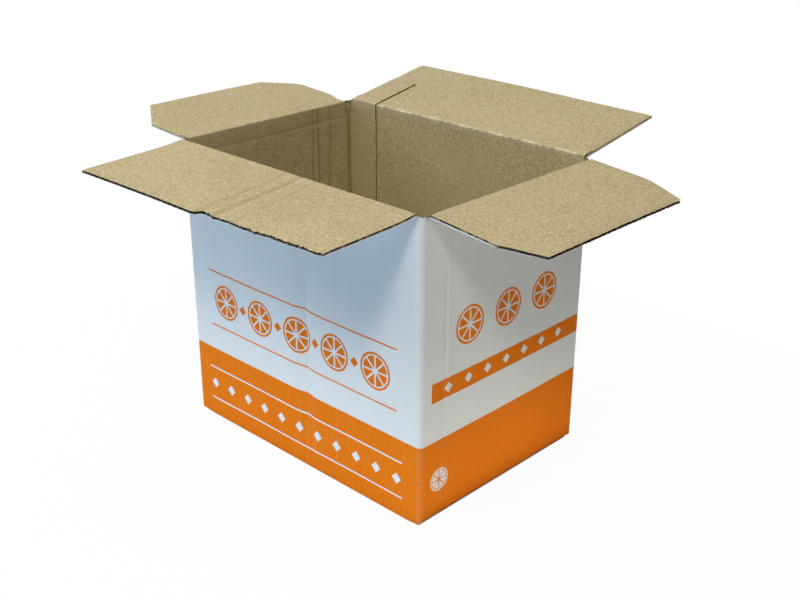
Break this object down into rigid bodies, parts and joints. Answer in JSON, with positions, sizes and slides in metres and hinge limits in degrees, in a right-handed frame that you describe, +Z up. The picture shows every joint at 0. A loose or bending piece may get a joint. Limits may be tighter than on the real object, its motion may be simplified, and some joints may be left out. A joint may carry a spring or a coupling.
{
  "type": "single wall cardboard box",
  "caption": "Open single wall cardboard box, printed white and orange outside and plain kraft inside, with hinged top flaps laid out and a closed base, for packing and shipping goods.",
  "frame": {"origin": "middle of the base, on the surface that the box stands on", "axes": "+X along the long walls to the right end wall, +Y from the front long wall to the back one, +Z up"},
  "size_m": [0.4726, 0.3942, 0.2805],
  "materials": {
    "printed_board": "white printed liner, matt, with a band of orange",
    "kraft_board": "bare brown kraft liner, matt, fibrous"
  },
  "bodies": {
    "case_body": {"case_body": "printed_board"},
    "front_flap": {"front_flap": "kraft_board"},
    "back_flap": {"back_flap": "kraft_board"},
    "left_flap": {"left_flap": "kraft_board"},
    "right_flap": {"right_flap": "kraft_board"}
  },
  "joints": [
    {"name": "front_flap_fold", "type": "hinge", "parent": "case_body", "child": "front_flap", "pos_m": [0, -0.0995, 0.259], "axis": [-1, 0, 0], "range_deg": [-77.5, 182.5]},
    {"name": "back_flap_fold", "type": "hinge", "parent": "case_body", "child": "back_flap", "pos_m": [0, 0.0995, 0.259], "axis": [1, 0, 0], "range_deg": [-91, 169]},
    {"name": "left_flap_fold", "type": "hinge", "parent": "case_body", "child": "left_flap", "pos_m": [-0.14, 0, 0.2544], "axis": [0, 1, 0], "range_deg": [-84, 176]},
    {"name": "right_flap_fold", "type": "hinge", "parent": "case_body", "child": "right_flap", "pos_m": [0.14, 0, 0.2556], "axis": [0, -1, 0], "range_deg": [-74.5, 185.5]}
  ]
}
